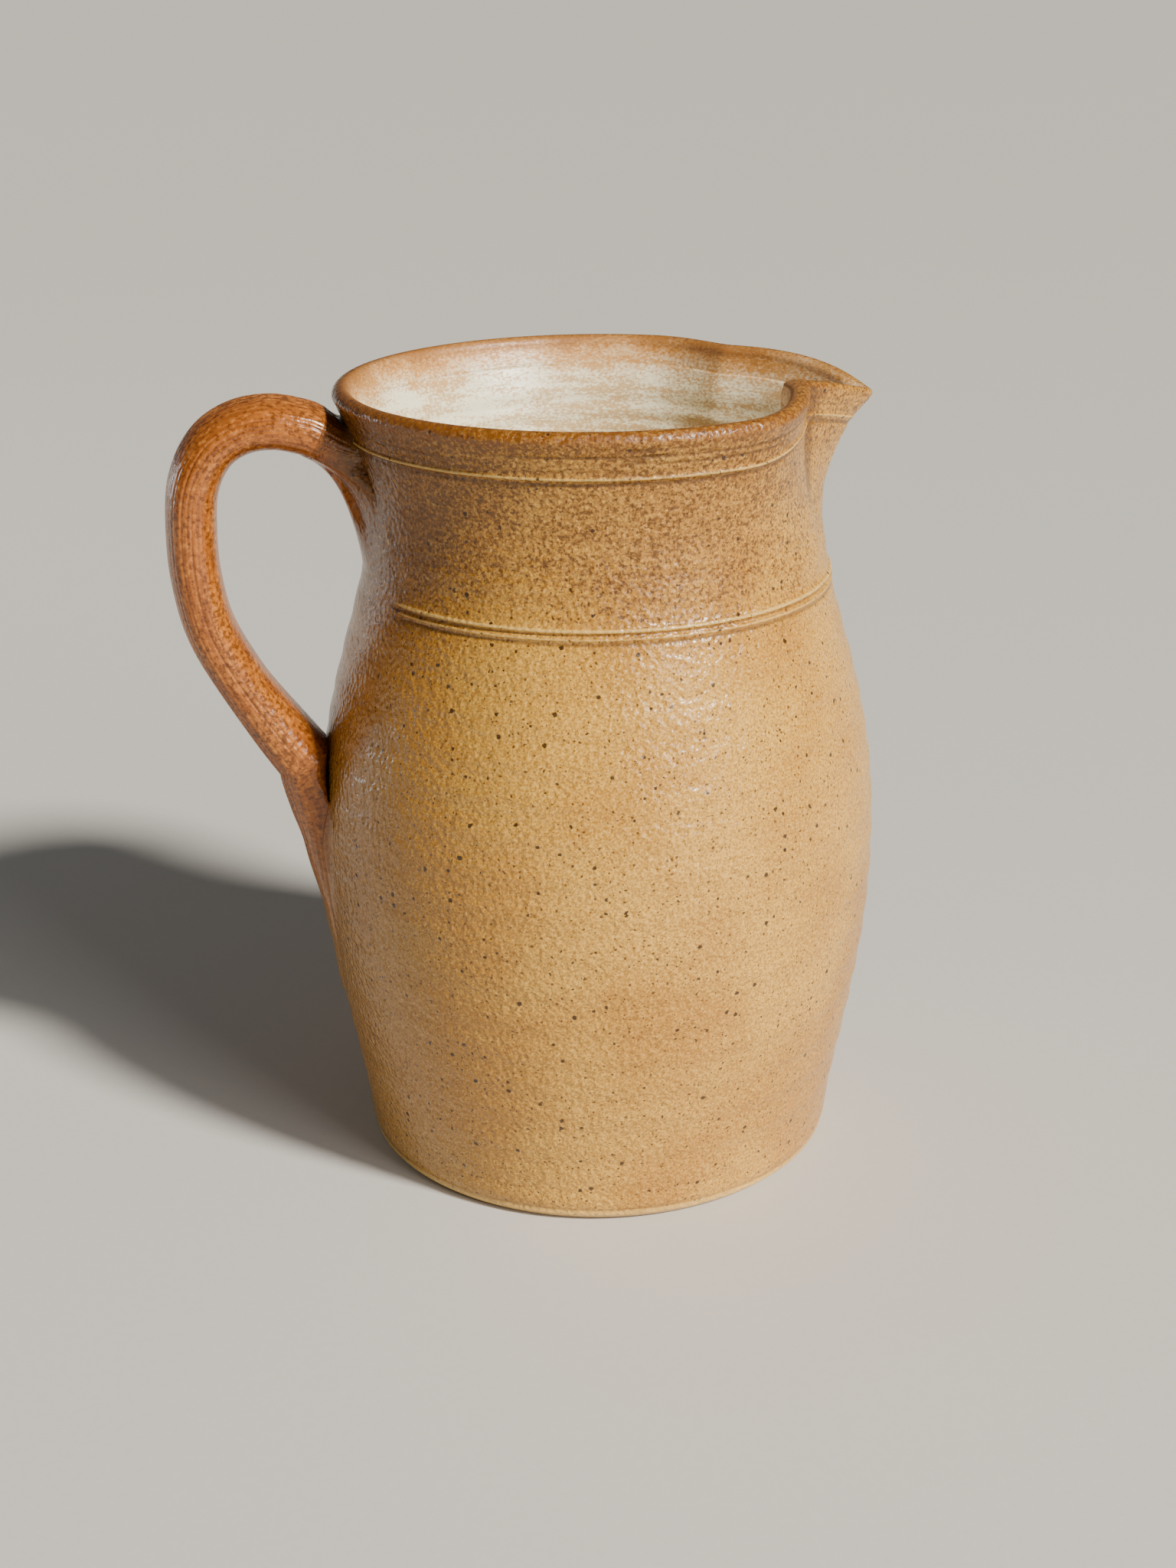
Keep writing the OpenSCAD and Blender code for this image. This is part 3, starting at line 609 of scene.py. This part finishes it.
# The clay is never thinner than this before its rim dips into the wall by so much
least_clay, rim_dip = 0.25, 0.6
def wipe_ring(u):
    stand = face_x(first_ring[:, 1], first_ring[:, 2]) - first_ring[:, 0]
    y, h = mix(first_ring[:, 1], root_y, u ** 5), mix(first_ring[:, 2], root_level, u)
    slope = mix(1, np.maximum(1 - (y / fan_edge(h)) ** 2, 0), under * ease(u / 0.6))
    smeared = smear * math.sin(math.pi * min(1, u * 1.1)) ** 1.5 * 0.8 * np.sqrt(slope)
    thick = stand * thinned(u) * slope + smeared
    return np.column_stack([face_x(y, h) - np.maximum(thick, least_clay) + rim_dip * u ** 6, y, h])

WIPES = 34
wipe_u = np.linspace(0, 1, WIPES)
wiped = [wipe_ring(u) for u in wipe_u]
wiped[0] = first_ring

# Behind its rim the skin closes inside the wall, over rings at these shares of the footprint
closing_shares, sunk = (0.95, 0.6, 0.3), 1.2
def inside_wall(share):
    y, h = root_y * share, mix(root_mid_h, root_level, share)
    return np.column_stack([face_x(y, h) + sunk, y, h])
joint_rings = np.stack(wiped + [inside_wall(share) for share in closing_shares])

closing = len(closing_shares)
joint_length = 40
joint_relief = [-first_depth * (1 - u) ** 2 + 0.35 * smear * math.sin(math.pi * u) for u in wipe_u]
joint_runs = np.concatenate([-wipe_u * joint_length, [-joint_length] * closing])
joint_toward = np.concatenate([ease((wipe_u - 0.1) / 0.9), [1] * closing])
joint_marks = {"relief": np.stack(joint_relief + [np.zeros(SIDES)] * closing),
               "strap_place": strap_place(joint_runs),
               "toward_pot": joint_toward[:, None] * np.ones(SIDES)}
upper_joint = make_skin("upper_joint", joint_rings, (-spine[0, 0], 0, spine[0, 1]),
                        (float(face_x(0, root_mid_h)) + sunk, 0, root_mid_h), joint_marks,
                        flat_ends=(True, False))
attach(upper_joint, "root")
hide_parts("upper_joint_clay")

# %% [markdown]
# At the belly a thin fillet of clay was worked along both edges of the tail and round its end.
# It follows the tail's outline: a path down one side and up the other, with a small hollow
# section at each step, highest against the strap and running out to nothing on the wall.

# %% Joint clay at the belly
fillet_w, fillet_spread, fillet_top_share = 1.6, 4.6, 0.3
# Shares of the way down the tail at which the fillet starts and its two sides meet
fillet_start, fillet_end = 0.16, 0.9985
side_u = 1 - (1 - np.linspace(0, 1, 90)) ** tail_crowding
side_u = side_u[(side_u > fillet_start) & (side_u < fillet_end)]
path_u = np.concatenate([side_u, side_u[::-1]])
path_side = np.concatenate([np.full(len(side_u), -1.0), np.full(len(side_u), 1.0)])
path = np.column_stack([path_side * tail_half_w(path_u), mix(tail_h, tail_end_h, path_u)])
tangent = np.gradient(path, axis=0)
away = np.column_stack([tangent[:, 1], -tangent[:, 0]]) / np.linalg.norm(tangent, axis=1)[:, None]
path_run = np.concatenate([[0], np.cumsum(np.linalg.norm(np.diff(path, axis=0), axis=1))])
lumps = 1 + 0.16 * wander(path_run / path_run[-1] * 2 * np.pi, 61, 9, first=3)
wide = (fillet_w + fillet_spread * ease(path_u / press_widest)) * lumps
started = mix(0.12, 1, ease((path_u - fillet_start) / 0.2))
height = fillet_top_share * tail_high(path_u) * (0.92 + 0.1 * lumps) * started

# The fillet's section: share of its width away from the tail, and share of its height
profile = np.array([(-0.10, -0.5), (-0.10, 0.5), (-0.06, 0.92), (0.03, 1.0), (0.14, 0.80),
                    (0.28, 0.52), (0.45, 0.29), (0.64, 0.13), (0.82, 0.03), (1.0, -0.22), (0.5, -0.5)])
fillet = np.empty((len(path), len(profile), 3))
for k, (out, rise) in enumerate(profile):
    spot = path + away * (wide * out)[:, None]
    stand = np.where(rise > 0, height * rise, rise)
    fillet[:, k] = np.column_stack([face_x(spot[:, 0], spot[:, 1]) - stand, spot[:, 0], spot[:, 1]])
# The place that its finish reads, in metres, apart from the strap's own
beside_strap, section_w, place_from = 0.011, 0.006, 0.2
fillet_place = np.empty(fillet.shape)
fillet_place[..., 0], fillet_place[..., 1] = beside_strap, profile[None, :, 0] * section_w
fillet_place[..., 2] = path_run[:, None] * MM + place_from
# Points in the crease beside the tail count as lying in a cut, so the finish darkens them: partly
# pooled glaze, partly painted shade of the crease
in_crease, crease_depth = slice(1, 4), 0.25
fillet_relief = np.zeros(fillet.shape[:2])
fillet_relief[:, in_crease] = -crease_depth
fillet_toward = mix(ease((path_u - 0.05) / 0.8)[:, None], 1.0, ease(profile[:, 0])[None, :])
fillet_marks = {"relief": fillet_relief, "strap_place": fillet_place, "toward_pot": fillet_toward}
lower_joint = make_skin("lower_joint", fillet, fillet[0].mean(axis=0), fillet[-1].mean(axis=0),
                        fillet_marks)
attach(lower_joint, "root")
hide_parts("lower_joint_clay")

# %% [markdown]
# A finish is a small recipe of textures. One class wraps a socket, so that arithmetic in Python
# adds the Math nodes, and one method adds any other node from its type, settings and inputs.
# Colours are given as a painter would read them, from 0 to 255, and turned into linear light.

# %% A recipe for a finish
class Strand:
    """One value on its way through a recipe."""
    def __init__(self, recipe, socket):
        self.recipe, self.socket = recipe, socket
    def sum(self, operation, first, second):
        return self.recipe.add("ShaderNodeMath", {"operation": operation}, {0: first, 1: second})
    def __add__(self, other): return self.sum("ADD", self, other)
    def __radd__(self, other): return self.sum("ADD", other, self)
    def __sub__(self, other): return self.sum("SUBTRACT", self, other)
    def __rsub__(self, other): return self.sum("SUBTRACT", other, self)
    def __mul__(self, other): return self.sum("MULTIPLY", self, other)
    def __rmul__(self, other): return self.sum("MULTIPLY", other, self)
    def __truediv__(self, other): return self.sum("DIVIDE", self, other)
    def __rtruediv__(self, other): return self.sum("DIVIDE", other, self)
    def __pow__(self, other): return self.sum("POWER", self, other)
    def __rpow__(self, other): return self.sum("POWER", other, self)

class Recipe:
    """A material's node tree, and the one way to add a node to it."""
    def __init__(self, name):
        self.material = bpy.data.materials.new(name)
        self.material.use_nodes = True
        self.tree = self.material.node_tree
        self.tree.nodes.clear()
    def add(self, kind, settings={}, inputs={}, output=0):
        node = self.tree.nodes.new(kind)
        for name, value in settings.items():
            setattr(node, name, value)
        for socket, value in inputs.items():
            if isinstance(value, Strand):
                self.tree.links.new(value.socket, node.inputs[socket])
            else:
                node.inputs[socket].default_value = value
        return None if output is None else Strand(self, node.outputs[output])

def colour(red, green, blue):
    shares = (red / 255, green / 255, blue / 255)
    return (*[s / 12.92 if s < 0.04045 else ((s + 0.055) / 1.055) ** 2.4 for s in shares], 1.0)

# %% [markdown]
# The textures of fired clay come down to a few kinds: soft clouds, fades between two limits,
# stretched streaks, and round spots. Each gets a short helper that takes places and sizes in
# metres. A spot's size changes from cell to cell, so that large ones are rare, as iron specks are.

# %% Textures used by every finish
def place_of(recipe): return recipe.add("ShaderNodeTexCoord", output="Object")
def mark_of(recipe, name, output="Fac"):
    return recipe.add("ShaderNodeAttribute", {"attribute_name": name}, output=output)
def axis_of(recipe, place, axis): return recipe.add("ShaderNodeSeparateXYZ", {}, {0: place}, axis)
def stretched(recipe, place, scales):
    return recipe.add("ShaderNodeVectorMath", {"operation": "MULTIPLY"}, {0: place, 1: scales})
def clouds(recipe, place, size, detail=3.0, roughness=0.5):
    return recipe.add("ShaderNodeTexNoise", {}, {"Vector": place, "Scale": 1 / size, "Detail": detail,
                                                 "Roughness": roughness})
def fade(recipe, value, low, high):
    return recipe.add("ShaderNodeMapRange", {"interpolation_type": "SMOOTHSTEP"},
                      {"Value": value, "From Min": low, "From Max": high})
# A Mix node keeps its two colours in sockets 6 and 7, and the mixed colour in output 2
def blend(recipe, share, first, second):
    return recipe.add("ShaderNodeMix", {"data_type": "RGBA"}, {0: share, 6: first, 7: second}, 2)
def ragged(recipe, place, size, amount):
    """A place that is pushed about a little, so that round shapes lose their roundness."""
    push = recipe.add("ShaderNodeTexNoise", {}, {"Vector": place, "Scale": 1 / size, "Detail": 1.0}, 1)
    return recipe.add("ShaderNodeVectorMath", {"operation": "MULTIPLY_ADD"},
                      {0: push, 1: (amount, amount, amount), 2: place})
def spots(recipe, place, spacing, smallest, largest):
    cell = {"Vector": ragged(recipe, place, 0.0011, 0.0009), "Scale": 1 / spacing}
    distance = recipe.add("ShaderNodeTexVoronoi", {}, cell, 0)
    tint = recipe.add("ShaderNodeTexVoronoi", {}, cell, 1)
    chance = recipe.add("ShaderNodeSeparateColor", {}, {0: tint}, 0)
    size = (chance ** 3.0) * ((largest - smallest) / spacing) + smallest / spacing
    return 1 - fade(recipe, distance / size, 0.75, 1.1)

# %% [markdown]
# Salt glaze is a thin glass with a skin like orange peel. It is built as bump alone: cells about
# two millimetres wide with soft borders, and a finer grain between them. It breaks every
# reflection into small pieces.

# %% Orange-peel skin
def orange_peel(recipe, place):
    cell_width, grain_size = 0.0019, 0.0009
    cells = recipe.add("ShaderNodeTexVoronoi", {"feature": "SMOOTH_F1"},
                       {"Vector": ragged(recipe, place, 0.004, 0.0012), "Scale": 1 / cell_width,
                        "Smoothness": 0.6})
    grain = clouds(recipe, place, grain_size, 2.0)
    return cells * 1.3 + grain * 0.5

# %% [markdown]
# The glaze's colour changes with height. The belly is a sandy ochre with a fine brown grain and a
# few dark iron specks. On the neck brown freckles crowd together in level bands, the rim is rust
# brown where the glaze ran thin, and the raised lines are paler because it drew back from them.
# The side by the handle is browner and darker: partly a browner glaze, partly painted shade of the side
# turned from the light. The neck on the lip's side is less brown. The same finish also ends the strap
# and the joint clay, so it is a function that each can call.

# %% Colours of the salt glaze
OCHRE, SAND, PALE = colour(222, 168, 74), colour(202, 144, 58), colour(240, 202, 118)
TOAST, UMBER, RUST = colour(146, 90, 25), colour(82, 46, 20), colour(132, 76, 24)
SANDY, FRECKLE = colour(148, 98, 28), colour(142, 90, 20)
BROWN, IRON = colour(84, 48, 13), colour(40, 22, 11)

def salt_glaze(recipe):
    place = place_of(recipe)
    height, side = axis_of(recipe, place, 2), axis_of(recipe, place, 0)
    relief = mark_of(recipe, "relief")
    bands = clouds(recipe, stretched(recipe, place, (0.10, 0.10, 1.0)), 0.0030, 4.0, 0.6)
    patches = clouds(recipe, place, 0.045, 2.0)
    freckles = clouds(recipe, ragged(recipe, place, 0.0009, 0.0006), 0.00115, 5.0, 0.70)
    grain = clouds(recipe, place, 0.00070, 3.0, 0.6)
    neck = fade(recipe, height + (patches - 0.5) * 0.03, 0.172, 0.210)
    # The handle's side of the pot: its glaze is browner there, and painted shade of the side turned
    # from the light is laid on it too.
    handle_side_brown_and_shade = 1 - fade(recipe, side + (patches - 0.5) * 0.05, -0.096, -0.026)
    by_lip = fade(recipe, side, 0.010, 0.085)
    crest = fade(recipe, height, 0.2420, 0.2490)
    ground = blend(recipe, fade(recipe, patches * 0.8 + bands * 0.2, 0.38, 0.62), OCHRE, SAND)
    # Painted shade, partly: the handle's side is blended towards TOAST and UMBER, a browner glaze plus
    # painted shade.
    ground = blend(recipe, neck * (0.34 - by_lip * 0.24) + handle_side_brown_and_shade * 0.35, ground, TOAST)
    ground = blend(recipe, handle_side_brown_and_shade * (neck * 0.50 + 0.42), ground, UMBER)
    crowd = (neck * (0.142 - by_lip * 0.046) + handle_side_brown_and_shade * (neck * 0.09 + 0.03) + crest * 0.05
             + (bands - 0.5) * 0.14 * neck + (patches - 0.5) * 0.12 - 0.100)
    body = blend(recipe, fade(recipe, grain, 0.42, 0.64) * 0.68, ground, SANDY)
    body = blend(recipe, fade(recipe, grain, 0.30, 0.46) * -0.38 + 0.38, body, PALE)
    body = blend(recipe, fade(recipe, freckles + crowd, 0.46, 0.60) * 0.66, body, FRECKLE)
    mottle = fade(recipe, freckles + crowd, 0.54, 0.65)
    body = blend(recipe, mottle * 0.74, body, BROWN)
    dots = spots(recipe, place, 0.00125, 0.00020, 0.00058)
    body = blend(recipe, dots * fade(recipe, freckles + crowd, 0.40, 0.58) * 0.75, body, BROWN)
    body = blend(recipe, crest * (0.35 + mottle * 0.3), body, RUST)
    body = blend(recipe, fade(recipe, relief, 0.18, 0.62) * 0.55, body, PALE)
    # Painted shade, partly: the grooves and the crease beside the throat turn brown by their depth,
    # partly pooled glaze and partly painted shade of the hollows.
    body = blend(recipe, (1 - fade(recipe, relief, -0.34, -0.06)) * 0.65, body, BROWN)
    body = blend(recipe, spots(recipe, place, 0.0014, 0.00012, 0.00048) * 0.85, body, BROWN)
    body = blend(recipe, spots(recipe, place, 0.0031, 0.0001, 0.00084) * 0.90, body, IRON)
    gloss = 0.26 - mottle * 0.05 - handle_side_brown_and_shade * 0.07 + (grain - 0.5) * 0.25
    return body, gloss, orange_peel(recipe, place) - mottle * 0.12

def finish(recipe, body, gloss, bump, depth):
    """The shader at the end of a recipe."""
    normal = recipe.add("ShaderNodeBump", {}, {"Strength": 1.0, "Distance": depth, "Height": bump})
    shader = recipe.add("ShaderNodeBsdfPrincipled", {}, {"Base Color": body, "Roughness": gloss,
                                                         "Normal": normal, "IOR": 1.52})
    recipe.add("ShaderNodeOutputMaterial", {}, {"Surface": shader}, None)
    print("recipe", recipe.material.name, "has", len(recipe.tree.nodes), "nodes")
    return recipe.material

# %% [markdown]
# The inside was lined with an off-white glaze, thin enough for the clay to show through as tan
# streaks along the throwing rings, with a dry, brushed grain. Towards the rim it thins out and
# turns orange over a finger's width, with no clear edge. The pot's own inside just under the rim
# takes the same finish, so the coat's edge shows only as the faint step that it is.

# %% Colours of the inside
CREAM, TAN = colour(255, 248, 214), colour(200, 156, 92)
ORANGE, FLECK = colour(210, 142, 58), colour(116, 72, 36)

def lining_glaze(recipe):
    place = place_of(recipe)
    height = axis_of(recipe, place, 2)
    rings = clouds(recipe, stretched(recipe, place, (0.13, 0.13, 1.0)), 0.0024, 5.0, 0.7)
    brushed = clouds(recipe, stretched(recipe, place, (0.6, 0.6, 1.0)), 0.0007, 3.0, 0.65)
    wash = clouds(recipe, place, 0.024, 4.0, 0.6)
    thin_glaze = fade(recipe, rings * 0.46 + brushed * 0.50 + wash * 0.30, 0.56, 0.71)
    body = blend(recipe, thin_glaze * 0.85, CREAM, TAN)
    uneven = height + (wash - 0.5) * 0.016 + (brushed - 0.5) * 0.014
    body = blend(recipe, fade(recipe, uneven, 0.2350, 0.2470) * 0.85, body, ORANGE)
    body = blend(recipe, fade(recipe, uneven, 0.2430, 0.2515) * 0.70, body, RUST)
    body = blend(recipe, spots(recipe, place, 0.011, 0.0001, 0.0008) * 0.65, body, FLECK)
    return body, 0.34 + thin_glaze * 0.20, orange_peel(recipe, place) * 0.22 + rings * 0.8

lining = Recipe("liner_glaze")
body, gloss, bump = lining_glaze(lining)
liner.data.materials.append(finish(lining, body, gloss, bump, depth=0.00018))

# %% [markdown]
# The pot wears the salt glaze outside and, past the crest of the rim, the colours of the inside.
# The flat foot stood on the kiln shelf and has no glaze, so it is dry and buff, and the little
# roll of clay round it is paler than the wall.

# %% Finish of the pot
BARE_CLAY = colour(190, 156, 112)
clay = Recipe("salt_glazed_clay")
body, gloss, bump = salt_glaze(clay)
inner_body, inner_gloss, inner_bump = lining_glaze(clay)
inward = fade(clay, mark_of(clay, "inside"), 0.30, 0.95)
body = blend(clay, inward, body, inner_body)
gloss = gloss + (inner_gloss - gloss) * inward
bump = bump + (inner_bump - bump) * inward
low = axis_of(clay, place_of(clay), 2)
body = blend(clay, (1 - fade(clay, low, 0.0028, 0.0048)) * 0.45, body, PALE)
foot = 1 - fade(clay, low, 0.0004, 0.0016)
body = blend(clay, foot * 0.8, body, BARE_CLAY)
pot.data.materials.append(finish(clay, body, gloss + foot * 0.4, bump, depth=0.00032))

# %% [markdown]
# The handle's clay is richer in iron and fired to an orange brown. The cuts are darker, partly from
# glaze that pooled in them and partly painted shade of the hollows, and the glaze drew thin over the
# ribs. Fine streaks run along the strap, so its textures are stretched along it. They read a place that
# was stored on the strap: round it, and along it.

# %% Colours of the handle
STRAP_ORANGE, STRAP_BROWN = colour(170, 97, 35), colour(140, 76, 26)
STRAP_WARM, STRAP_LIGHT = colour(200, 126, 54), colour(214, 140, 64)
STRAP_DARK, CUT_DARK = colour(80, 40, 14), colour(78, 38, 15)

def strap_clay(recipe):
    place = mark_of(recipe, "strap_place", "Vector")
    relief = mark_of(recipe, "relief")
    streaks = clouds(recipe, stretched(recipe, place, (1.0, 1.0, 0.06)), 0.0014, 3.0, 0.6)
    leopard = clouds(recipe, ragged(recipe, place, 0.0009, 0.0006), 0.00145, 4.0, 0.62)
    tone = clouds(recipe, stretched(recipe, place, (1.0, 1.0, 0.3)), 0.009, 2.0)
    body = blend(recipe, fade(recipe, streaks, 0.38, 0.62), STRAP_ORANGE, STRAP_BROWN)
    body = blend(recipe, fade(recipe, tone, 0.46, 0.66) * 0.36, body, STRAP_WARM)
    dark_patches = fade(recipe, leopard + (tone - 0.5) * 0.30, 0.50, 0.61)
    body = blend(recipe, dark_patches * 0.68, body, STRAP_DARK)
    body = blend(recipe, 0.50 - fade(recipe, leopard, 0.33, 0.46) * 0.50, body, STRAP_LIGHT)
    # Painted shade, partly: the die's cuts and the crease beside the tail turn dark by their depth,
    # partly pooled glaze and partly painted shade of the hollows.
    body = blend(recipe, (1 - fade(recipe, relief, -0.30, -0.06)) * 0.42, body, CUT_DARK)
    gloss = 0.27 - fade(recipe, leopard, 0.4, 0.6) * 0.08
    return body, gloss, orange_peel(recipe, place) * 0.6 + leopard * 0.4

# %% [markdown]
# The strap starts in its own colour and, along the pressed tail, turns into the glaze of the pot.
# The joint clay does the same from the strap's edge to the fan's edge, so both use one recipe
# that mixes the two finishes by a mark stored on their points.

# %% Finishes of the strap and the joint clay
WIPED_DARK = colour(70, 36, 16)
def luted_clay(name, darker):
    recipe = Recipe(name)
    strap_body, strap_gloss, strap_bump = strap_clay(recipe)
    pot_body, pot_gloss, pot_bump = salt_glaze(recipe)
    toward = mark_of(recipe, "toward_pot")
    body = blend(recipe, toward, strap_body, pot_body)
    body = blend(recipe, darker, body, WIPED_DARK)
    gloss = strap_gloss + (pot_gloss - strap_gloss) * toward - darker * 0.3
    bump = strap_bump + (pot_bump - strap_bump) * toward
    return finish(recipe, body, gloss, bump, depth=0.00020)

strap.data.materials.append(luted_clay("handle_clay", darker=0.0))
joint_finish = luted_clay("joint_clay", darker=0.12)
upper_joint.data.materials.append(joint_finish)
lower_joint.data.materials.append(joint_finish)

# %% [markdown]
# The pitcher stands on a plain pale floor that runs on behind it like a studio's paper sweep.
# The floor isn't part of the object.

# %% Floor
floor_mesh = bpy.data.meshes.new("floor")
FLOOR_R, FLOOR_SIDES = 30, 96
edge = [(FLOOR_R * math.cos(t), FLOOR_R * math.sin(t), 0)
        for t in np.linspace(0, 2 * np.pi, FLOOR_SIDES, endpoint=False)]
floor_mesh.from_pydata(edge, [], [list(range(FLOOR_SIDES))])
floor = bpy.data.objects.new("floor", floor_mesh)
bpy.context.scene.collection.objects.link(floor)
paper = Recipe("floor_paper")
fibre = clouds(paper, place_of(paper), 0.003, 3.0)
paper_body = blend(paper, fibre, colour(206, 203, 196), colour(212, 209, 202))
floor_mesh.materials.append(finish(paper, paper_body, 0.55 + fibre * 0.1, fibre, depth=0.00005))

# %% [markdown]
# A wide soft sun at the front right stands for the window in the photograph. Two weak square
# lamps put a sheen on the shoulder and on the left side, and pale surroundings fill the shadows.

# %% Light
def facing(heading, rise):
    """The way out from the pitcher to a lamp. Heading and rise are in degrees."""
    heading, rise = math.radians(heading), math.radians(rise)
    level = Vector((math.cos(heading), math.sin(heading), 0)) * math.cos(rise)
    return level + Vector((0, 0, math.sin(rise)))

def soft_lamp(name, heading, rise, distance, size, watts, tint):
    """A square lamp that faces the middle of the pitcher."""
    lamp = bpy.data.objects.new(name, bpy.data.lights.new(name, "AREA"))
    lamp.data.size, lamp.data.energy, lamp.data.color = size, watts, tint
    lamp.location = facing(heading, rise) * distance + Vector((0, 0, 0.12))
    lamp.rotation_euler = (-facing(heading, rise)).to_track_quat("-Z", "Y").to_euler()
    bpy.context.scene.collection.objects.link(lamp)
    return lamp

sun = bpy.data.objects.new("window", bpy.data.lights.new("window", "SUN"))
sun.data.energy, sun.data.angle, sun.data.color = 6.0, 0.14, (1.0, 0.96, 0.88)
sun.rotation_euler = (-facing(heading=-48, rise=40)).to_track_quat("-Z", "Y").to_euler()
bpy.context.scene.collection.objects.link(sun)
soft_lamp("front_sheen", heading=-62, rise=20, distance=1.5, size=0.36, watts=7,
          tint=(1.0, 0.98, 0.95))
soft_lamp("left_sheen", heading=147, rise=6, distance=1.4, size=0.30, watts=2.8,
          tint=(0.94, 0.97, 1.0))
world = bpy.data.worlds.new("studio")
bpy.context.scene.world = world
world.use_nodes = True
world.node_tree.nodes["Background"].inputs["Color"].default_value = (0.88, 0.89, 0.90, 1)
world.node_tree.nodes["Background"].inputs["Strength"].default_value = 0.11
